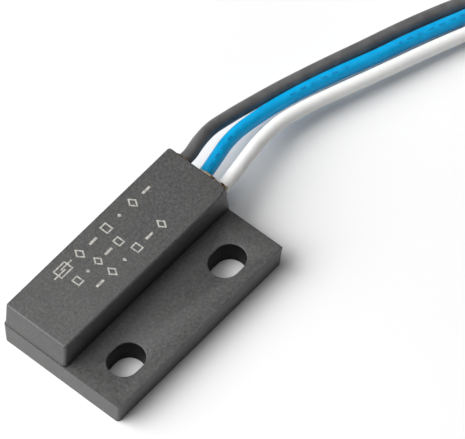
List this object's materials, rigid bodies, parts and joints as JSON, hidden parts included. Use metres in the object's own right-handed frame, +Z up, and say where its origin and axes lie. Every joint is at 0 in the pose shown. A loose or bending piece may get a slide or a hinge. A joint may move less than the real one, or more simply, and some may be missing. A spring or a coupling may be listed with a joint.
{
  "type": "flange-mount reed proximity sensor",
  "caption": "Small potted magnetic door contact: a moulded block on a slotted flange, with flying leads wound into a tied hank.",
  "frame": {"origin": "centre of the housing's footprint on the mounting surface", "axes": "+X along the housing towards the wire end, +Y towards the block, -Y towards the slotted flange, +Z up from the mounting surface"},
  "size_m": [0.0908, 0.0166, 0.0086],
  "materials": {
    "housing_plastic": "fine moulded texture",
    "potting_resin": "glossy cast resin",
    "reed_glass": "clear, slightly green",
    "lead_alloy": "plated nickel-iron",
    "contact_pad": "plated",
    "tinned_copper": "tinned strands",
    "solder": "satin solder",
    "pvc_black": "soft satin insulation",
    "pvc_blue": "soft satin insulation",
    "pvc_white": "soft satin insulation",
    "tie_plastic": "matte strip"
  },
  "bodies": {
    "sensor": {"housing": "housing_plastic", "potting_fill": "potting_resin", "glass_envelope": "reed_glass", "common_lead": "lead_alloy", "normally_open_lead": "lead_alloy", "normally_closed_lead": "lead_alloy", "normally_closed_pad": "contact_pad", "core_black": "tinned_copper", "core_blue": "tinned_copper", "core_white": "tinned_copper", "solder_black": "solder", "solder_blue": "solder", "solder_white": "solder", "potted_wire_black": "pvc_black", "potted_wire_blue": "pvc_blue", "potted_wire_white": "pvc_white", "wire_black": "pvc_black", "wire_blue": "pvc_blue", "wire_white": "pvc_white", "hank_black": "pvc_black", "hank_blue": "pvc_blue", "hank_white": "pvc_white", "wire_end_black": "tinned_copper", "wire_end_blue": "tinned_copper", "wire_end_white": "tinned_copper", "wire_tie": "tie_plastic"},
    "armature": {"armature_blade": "lead_alloy"}
  },
  "joints": [
    {"name": "armature_flex", "type": "hinge", "parent": "sensor", "child": "armature", "pos_m": [-0.0048, 0.0019, 0.00295], "axis": [0, 1, 0], "range_deg": [0, 1.1], "stiffness_Nm_per_rad": 0.01, "springref_deg": -0.57}
  ]
}
